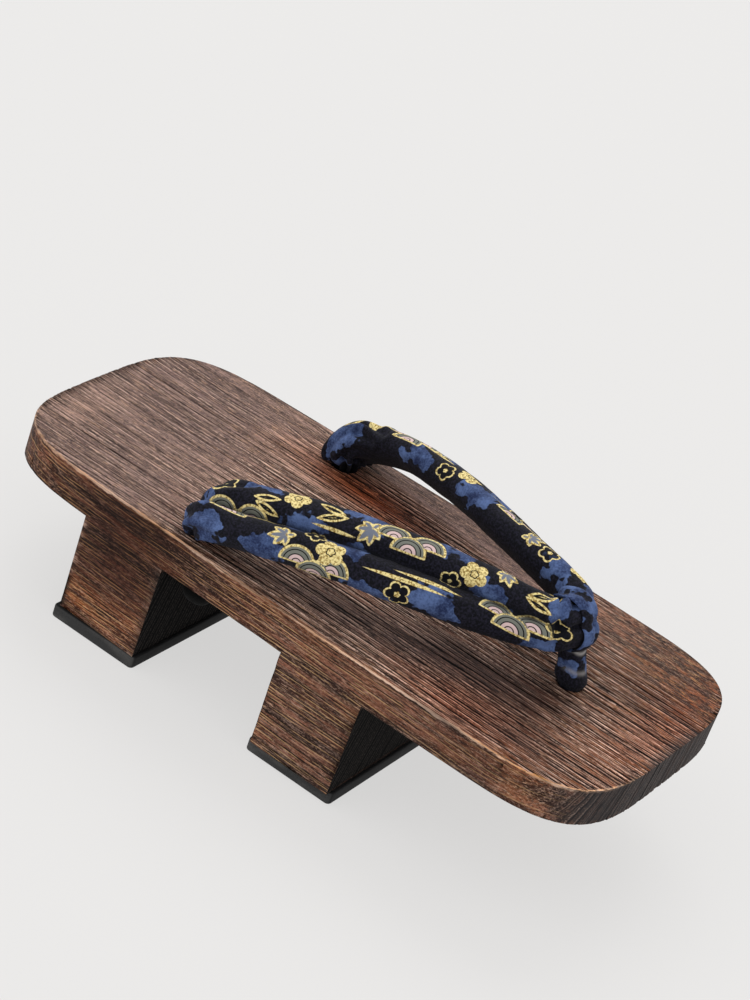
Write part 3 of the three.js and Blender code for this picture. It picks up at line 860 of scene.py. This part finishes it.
def nearest(shapes, motif, arm, run, side):
    """Distance outside the nearest motif of a list."""
    distance = np.full(run.shape, FAR_AWAY)
    for shape_arm, *places in shapes:
        here = motif(run, side, *places)
        distance = np.where(arm == shape_arm, np.minimum(distance, here), distance)
    return distance


def centred(motif):
    """Lets a motif take its centre as two numbers of a table row."""
    return lambda run, side, along, across, *rest: motif(run, side, (along, across), *rest)


def charted_print(arm, run, side):
    """The print as fields over the cloth, each a distance in millimetres unless it is said otherwise."""
    cloud = np.full(run.shape, -1.0)
    for cloud_arm, along, across, half_length, half_width in CLOUDS:
        inside = 1.0 - np.hypot((run - along) / half_length, (side - across) / half_width)
        cloud = np.where(arm == cloud_arm, np.maximum(cloud, inside), cloud)
    fan_edge = np.full(run.shape, FAR_AWAY)
    fan_ring = np.ones(run.shape)
    for fan_arm, *places in FANS:
        distance, ring = wave_fan(run, side, *places)
        fan_ring = np.where((arm == fan_arm) & (distance < 0.0), ring, fan_ring)
        fan_edge = np.where(arm == fan_arm, np.minimum(fan_edge, distance), fan_edge)
    hearts = [(row[0], row[1], row[2], row[3] * HEART_SHARE, row[4] + HEART_TURN) for row in BLOSSOMS]
    gilt = [row for row in BLOSSOMS if row[:2] in GILT_BLOSSOMS]
    return {
        "cloud": cloud,
        "fan_edge": fan_edge,
        "fan_ring": fan_ring,
        "blossom": nearest(BLOSSOMS, centred(blossom), arm, run, side),
        "gilt": nearest(gilt, centred(blossom), arm, run, side),
        "heart": nearest(hearts, centred(blossom), arm, run, side),
        "leaf": nearest(LEAVES, centred(leaf), arm, run, side),
        "blade": nearest(BLADES, centred(almond), arm, run, side),
        "stroke": nearest(STROKES, stroke, arm, run, side),
    }


NAVY_DARK = paint(7, 8, 14)
NAVY_LIGHT = paint(30, 29, 42)
CLOUD_DARK = paint(30, 40, 72)
CLOUD_LIGHT = paint(84, 104, 148)
GOLD_DARK = paint(142, 116, 60)
GOLD_LIGHT = paint(232, 214, 150)
FAN_GREY = paint(112, 114, 106)
FOAM_PINK = paint(204, 178, 176)
LEAF_GREY = paint(120, 126, 140)
HEM_AND_HIGHLIGHT_GREY = paint(172, 168, 166)
SHADED_TAIL_BLACK = paint(4, 4, 4)
OUTLINE = 0.34
THREAD_STEP = 0.55
FAN_RINGS = 4.0


def woven(tree, run, side):
    """The height of a plain weave of threads, -0.5 to 0.5."""
    warp = maths(tree, "SINE", times(tree, run, 2.0 * math.pi / THREAD_STEP))
    weft = maths(tree, "SINE", times(tree, side, 2.0 * math.pi / THREAD_STEP))
    return times(tree, times(tree, warp, weft), 0.5)


def cloth_ground(tree, cloud):
    """Navy cotton with blue patches where cloud is above 0. Returns the colour and the fine speckle."""
    place = add_node(tree, "ShaderNodeTexCoord").outputs["Object"]
    speckle = stretched_noise(tree, place, (1300, 1300, 1300), detail=2.0)
    mottle = stretched_noise(tree, place, (110, 110, 110), roughness=0.6)
    torn = stretched_noise(tree, place, (150, 150, 150), detail=2.4)
    navy = mix_colour(tree, between(tree, speckle, 0.38, 0.68), NAVY_DARK, NAVY_LIGHT)
    tint = maths(tree, "ADD", times(tree, mottle, 0.7), times(tree, speckle, 0.3))
    blue = mix_colour(tree, between(tree, tint, 0.36, 0.66), CLOUD_DARK, CLOUD_LIGHT)
    ragged = maths(tree, "ADD", cloud, times(tree, maths(tree, "SUBTRACT", torn, 0.5), 3.4))
    return mix_colour(tree, between(tree, ragged, 0.08, 0.2), navy, blue), speckle


def finish_cloth(tree, cloth, run, side, speckle):
    """Weave, speckle and a soft nap over a cloth's colour, and a dull black painted shade where it goes into
    the board and is knotted.
    """
    tail_in_shade = attribute(tree, "tail_in_shade")
    colour = mix_colour(tree, tail_in_shade, cloth, SHADED_TAIL_BLACK)
    dull = maths(tree, "MAXIMUM", tail_in_shade, 0.82)
    heights = maths(tree, "ADD", woven(tree, run, side), speckle)
    bump = add_node(tree, "ShaderNodeBump", {"Strength": 0.35, "Distance": 0.00018, "Height": heights})
    finish_material(
        tree, Base_Color=colour, Roughness=dull, Specular_IOR_Level=0.12, Sheen_Weight=0.03,
        Sheen_Roughness=0.5, Normal=bump.outputs["Normal"],
    )


def inside_of(tree, distance, reach=0.0):
    """1 inside a shape, 0 outside, with a soft edge of about a thread."""
    return between(tree, distance, reach - 0.12, reach + 0.12, 1.0, 0.0)


def outlined(tree, cloth, distance, colour, half=OUTLINE):
    """Draws a line along a shape's edge, half of it to each side."""
    edge = maths(tree, "ABSOLUTE", distance)
    return mix_colour(tree, inside_of(tree, edge, half), cloth, colour)


def printed_cloth(name):
    """Woven cotton, near-black navy, with cloudy blue patches, ringed wave fans, a pale gold print and
    painted shade along the seam.
    """
    material, tree = new_material(name)
    run = attribute(tree, "run")
    side = attribute(tree, "side")
    cloth, speckle = cloth_ground(tree, attribute(tree, "cloud"))
    gold = mix_colour(tree, between(tree, speckle, 0.34, 0.6), GOLD_DARK, GOLD_LIGHT)
    fan_edge = attribute(tree, "fan_edge")
    fan_ring = attribute(tree, "fan_ring")
    ring_line = maths(tree, "PINGPONG", times(tree, fan_ring, FAN_RINGS), 0.5)
    bands = mix_colour(tree, between(tree, fan_ring, 0.46, 0.54), FOAM_PINK, FAN_GREY)
    bands = mix_colour(tree, between(tree, ring_line, 0.08, 0.17), NAVY_DARK, bands)
    bands = mix_colour(tree, between(tree, fan_ring, 0.88, 0.94), bands, gold)
    cloth = mix_colour(tree, inside_of(tree, fan_edge), cloth, bands)
    cloth = outlined(tree, cloth, fan_edge, gold)
    for motif, fill in (("blade", NAVY_DARK), ("leaf", LEAF_GREY), ("blossom", NAVY_DARK)):
        distance = attribute(tree, motif)
        cloth = mix_colour(tree, times(tree, inside_of(tree, distance), 0.8), cloth, fill)
        cloth = outlined(tree, cloth, distance, gold)
    cloth = mix_colour(tree, inside_of(tree, attribute(tree, "gilt")), cloth, gold)
    heart = attribute(tree, "heart")
    cloth = mix_colour(tree, inside_of(tree, heart), cloth, gold)
    cloth = outlined(tree, cloth, heart, NAVY_DARK, 0.2)
    stroke_middle = maths(tree, "ADD", attribute(tree, "stroke"), 0.2)
    cloth = outlined(tree, cloth, stroke_middle, gold, 0.3)
    vein = maths(tree, "ADD", attribute(tree, "blade"), 1.05)
    cloth = outlined(tree, cloth, vein, gold, 0.16)
    # Painted shade in the seam's crease.
    cloth = mix_colour(tree, attribute(tree, "seam"), cloth, NAVY_DARK)
    finish_cloth(tree, cloth, run, side, speckle)
    return material


def plain_cloth(name):
    """The same cotton where no motif falls, with a pale hem and a painted highlight."""
    material, tree = new_material(name)
    cloth, speckle = cloth_ground(tree, attribute(tree, "cloud"))
    cloth = mix_colour(tree, attribute(tree, "hem_and_highlight"), cloth, HEM_AND_HIGHLIGHT_GREY)
    finish_cloth(tree, cloth, attribute(tree, "run"), attribute(tree, "side"), speckle)
    return material


# Creases of the padded strap, given one by one: soft troughs along lines on the cloth. Gathers end each arm.
CREASES = (
    # arm, start, end, width, depth
    (RIGHT, (9, -15), (10.5, 9), 1.3, 2.0), (RIGHT, (11, -6), (22, -7), 1.4, 0.6),
    (RIGHT, (2, -12), (8, -4), 1.3, 1.0), (RIGHT, (4, 0), (12, 3), 1.2, 0.8),
    (RIGHT, (7, -15), (16, -10), 1.6, 0.7), (RIGHT, (3, 6), (14, 9), 1.4, 0.7),
    (LEFT, (3, -14), (13, -8), 1.4, 1.0), (LEFT, (5, -4), (14, -1), 1.3, 0.8),
    (LEFT, (6, -20), (18, -17), 1.6, 0.8), (RIGHT, (126, -13), (141, -4), 1.5, 0.9),
    (RIGHT, (128, 2), (143, 1), 1.4, 0.9), (RIGHT, (127, 12), (142, 7), 1.5, 0.9),
    (LEFT, (120, -16), (141, -6), 1.5, 1.7), (LEFT, (124, -20), (142, -12), 1.4, 1.5),
    (LEFT, (124, -10), (141, 0), 1.5, 1.5), (LEFT, (128, 6), (142, 4), 1.5, 0.8),
    (RIGHT, (60, -3), (76, -2), 1.8, 0.4), (RIGHT, (30, 4), (46, 5), 1.8, 0.4),
    (LEFT, (60, -8), (80, -6), 1.8, 0.4),
)
LUMP_HEIGHT = 0.7
PUCKER_HEIGHT = 0.35
GATHER_HEIGHT = 1.1
GATHER_FOLDS = 9
SEAM_SHADE = 0.85
SEAM_SHADE_WIDTH = 1.2
TAIL_START = 145.0
TAIL_END = 149.0


def soft_relief(arm, run, side, turn, places):
    """How far the cloth stands out from the plain padded tube, in millimetres."""
    flat = places.reshape(-1, 3).T
    lumps = noise_field(flat / 15.0, 6) * 0.6 + noise_field(flat / 6.0, 7) * 0.25
    relief = LUMP_HEIGHT * lumps.reshape(run.shape) * soft_step(-run, -150, -140)
    near_seam = np.exp(-((side / 4.5) ** 2))
    beat = noise_field((flat[0] / 3.6, flat[1] * 0.0, flat[2] * 0.0), 8).reshape(run.shape)
    relief += PUCKER_HEIGHT * near_seam * beat * soft_step(run, 20, 40) * soft_step(-run, -142, -134)
    gathered = soft_step(run, 122, 143) * soft_step(-run, -158, -150)
    relief += GATHER_HEIGHT * gathered * np.cos(GATHER_FOLDS * turn + 0.06 * run)
    for crease_arm, start, end, width, depth in CREASES:
        a, b = np.subtract(end, start)
        share = np.clip(((run - start[0]) * a + (side - start[1]) * b) / (a * a + b * b), 0.0, 1.0)
        away = np.hypot(run - start[0] - share * a, side - start[1] - share * b)
        trough = np.exp(-((away / width) ** 2)) - 0.45 * np.exp(-(((away - 2.0 * width) / width) ** 2))
        relief -= np.where(arm == crease_arm, depth * trough * (1.0 - 0.5 * (2.0 * share - 1.0) ** 2), 0.0)
    return relief


def round_from_face(rings, face):
    """Millimetres round each ring from one of its points, more than 0 towards the outer edge."""
    gaps = np.linalg.norm(np.diff(np.concatenate((rings, rings[:, :1]), axis=1), axis=1), axis=2)
    arc = np.concatenate((np.zeros((len(rings), 1)), np.cumsum(gaps, axis=1)[:, :-1]), axis=1)
    whole = gaps.sum(axis=1, keepdims=True)
    return (arc[:, face, None] - arc + whole / 2) % whole - whole / 2


def outward(rings):
    """Unit normals of a tube of rings, pointing out."""
    ahead = np.gradient(rings, axis=0)
    aside = np.roll(rings, -1, axis=1) - np.roll(rings, 1, axis=1)
    normal = np.cross(ahead, aside)
    away = rings - rings.mean(axis=1, keepdims=True)
    normal *= np.sign(np.sum(normal * away, axis=(1, 2), keepdims=True))
    return normal / np.maximum(np.linalg.norm(normal, axis=2, keepdims=True), 1e-9)


def paint_stations(piece, fields):
    """Keeps fields that were worked out on rings of points on the vertices that came from them."""
    stations = np.empty(len(piece.data.vertices), np.int32)
    piece.data.attributes["station"].data.foreach_get("value", stations)
    for name, field in fields.items():
        paint_points(piece, name, field.ravel()[stations])
    piece.data.attributes.remove(piece.data.attributes["station"])


at, strap_run = even_stations(both_arms(STRAP_ROWS), STRAP_ALONG)
spread = np.linspace(0.0, 2.0 * math.pi, STRAP_ROUND, endpoint=False)
turn = (spread + FACE_CROWD * np.cos(spread))[None, :]
strap_rings = strap_surface(at, turn)
signed_run = (strap_run - strap_run[-1] / 2)[:, None] + 0.0 * turn
strap_arm = np.where(signed_run < 0, RIGHT, LEFT)
strap_from_toe = np.abs(signed_run)
strap_side = round_from_face(strap_rings, np.argmin(np.abs(turn[0] - math.pi / 2)))
relief = soft_relief(strap_arm, strap_from_toe, strap_side, turn, strap_rings)
strap_rings = strap_rings + outward(strap_rings) * relief[:, :, None]
strap = mesh_object("padded_strap", tube_shape(strap_rings * MM), printed_cloth("strap_cloth"))
fields = charted_print(strap_arm, strap_from_toe, strap_side)
# Painted shade along the seam's crease, from a little past the toe.
by_seam = np.exp(-((strap_side / SEAM_SHADE_WIDTH) ** 2))
fields["seam"] = SEAM_SHADE * by_seam * soft_step(strap_from_toe, 8, 20)
# Painted shade: the ends that go down through the board, and the knots, are black.
fields["tail_in_shade"] = soft_step(strap_from_toe, TAIL_START, TAIL_END)
paint_stations(strap, {"run": signed_run, "side": strap_side, **fields})
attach(strap, "root")
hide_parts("strap")


# The toe loop. A band of the same cloth, folded double, goes round the strap at the toe. Its two ends go down
# side by side as the toe post, through the board, and are knotted beneath it.
BAND_HALF = 5.0
BAND_WALL = 2.2
BAND_CREASE = 1.2
BAND_ALONG = 25
BAND_ROUND = 120
BAND_ROWS = 2.0
BAND_READINGS = 401
BAND_GAP = 0.1
POST_ROWS = np.array((
    # x, y, z over the board, length along the foot, width across it
    (81.6, 0, 20, 9, 9.4),
    (83.4, 0, 13, 10.2, 10.2),
    (85.6, 0, 7, 10.8, 10.8),
    (86.8, 0, 2.8, 12.4, 12),
    (87.5, 0, 0.6, 9.8, 9.8),
    (87.5, 0, -2, 8.2, 8.2),
    (87.5, 0, -14.4, 8.2, 8.2),
    (87.5, 0, -17, 12, 11),
    (87.5, 0, -21, 15, 13),
    (87.5, 0, -24.8, 11, 10),
    (87.5, 0, -26.4, 4, 4),
))
POST_ALONG = 150
POST_ROUND = 72
POST_TURN = -50.0
POST_TWIST = 2.2
CLEFT_DEPTH = 0.26
CLEFT_POWER = 8
CLOTH_STEP = 0.5


def band_rings():
    """The band as a closed ring: a flat oval section carried round the strap's own section."""
    middle = len(STRAP_ROWS) - 1
    at = np.linspace(middle - BAND_ROWS, middle + BAND_ROWS, BAND_READINGS)
    turn = np.linspace(0.0, 2.0 * math.pi, BAND_ROUND, endpoint=False)
    wrapped = strap_surface(at, turn[None, :])
    centre = wrapped[BAND_READINGS // 2].mean(axis=0)
    rings = []
    for angle in np.linspace(0.0, 2.0 * math.pi, BAND_ALONG, endpoint=False):
        aside = BAND_HALF * math.cos(angle)
        lift = BAND_WALL / 2 * (1.0 + math.sin(angle)) + BAND_GAP
        lift -= BAND_CREASE * math.exp(-(((aside - 0.8) / 1.0) ** 2)) * max(0.0, math.sin(angle))
        ring = []
        for line in np.swapaxes(wrapped, 0, 1):
            spot = np.interp(aside, line[:, 1], np.arange(len(line)))
            low = int(spot)
            place = line[low] + (line[min(low + 1, len(line) - 1)] - line[low]) * (spot - low)
            away = place - centre
            away[1] = 0.0
            ring.append(place + away / np.linalg.norm(away) * lift)
        rings.append(ring)
    return np.swapaxes(np.array(rings), 0, 1)


def post_rings():
    """The post: two folded ends side by side, turned a little, narrow in the hole and swollen in the knot."""
    at, run = even_stations(POST_ROWS, POST_ALONG)
    table = through_rows(POST_ROWS, at)
    turn = np.linspace(0.0, 2.0 * math.pi, POST_ROUND, endpoint=False)[None, :]
    twist = np.radians(POST_TURN - POST_TWIST * run)[:, None]
    cleft = 1.0 - CLEFT_DEPTH * np.abs(np.cos(turn - twist)) ** CLEFT_POWER
    along = table[:, 3, None] / 2 * np.cos(turn) * cleft
    across = table[:, 4, None] / 2 * np.sin(turn) * cleft
    middle = table[:, None, :3] + np.array((0.0, 0.0, BOARD_TOP))
    return middle + np.stack((along, across, 0.0 * along), axis=2)


def dress_loop(name, rings, closed, cloud, hem_and_highlight):
    """Builds one piece of the loop from rings in millimetres and keeps its cloth's fields on it."""
    piece = mesh_object(name, tube_shape(rings * MM, closed), loop_cloth)
    run, side = np.indices(rings.shape[:2]) * CLOTH_STEP
    # Painted shade: the cloth is black below the board's top.
    tail_in_shade = soft_step(BOARD_TOP - rings[:, :, 2], 1, 4)
    paint_stations(piece, {"run": run, "side": side, "cloud": cloud, "hem_and_highlight": hem_and_highlight, "tail_in_shade": tail_in_shade})
    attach(piece, "root")
    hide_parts("toe_loop")


loop_cloth = plain_cloth("loop_cloth")
band = band_rings()
dress_loop("toe_band", band, True, np.full(band.shape[:2], 0.3), np.zeros(band.shape[:2]))
post = post_rings()
height = post[:, :, 2] - BOARD_TOP
facing = (post[:, :, 0] - 86.0) * 0.7 - post[:, :, 1] * 0.7
blue_spot = 0.5 - np.hypot(facing - 3.0, height - 9.0) / 5.0
hem_ring = np.exp(-(((height - 14.6 + 0.3 * facing) / 0.6) ** 2))
# A painted highlight on the post's lit side, drawn in the hem's colour.
post_highlight = np.exp(-((facing - 4.0) / 1.6) ** 2 - ((height - 7.0) / 0.8) ** 2)
dress_loop("toe_post", post, False, blue_spot, np.clip(0.7 * hem_ring + 0.45 * post_highlight, 0.0, 1.0))
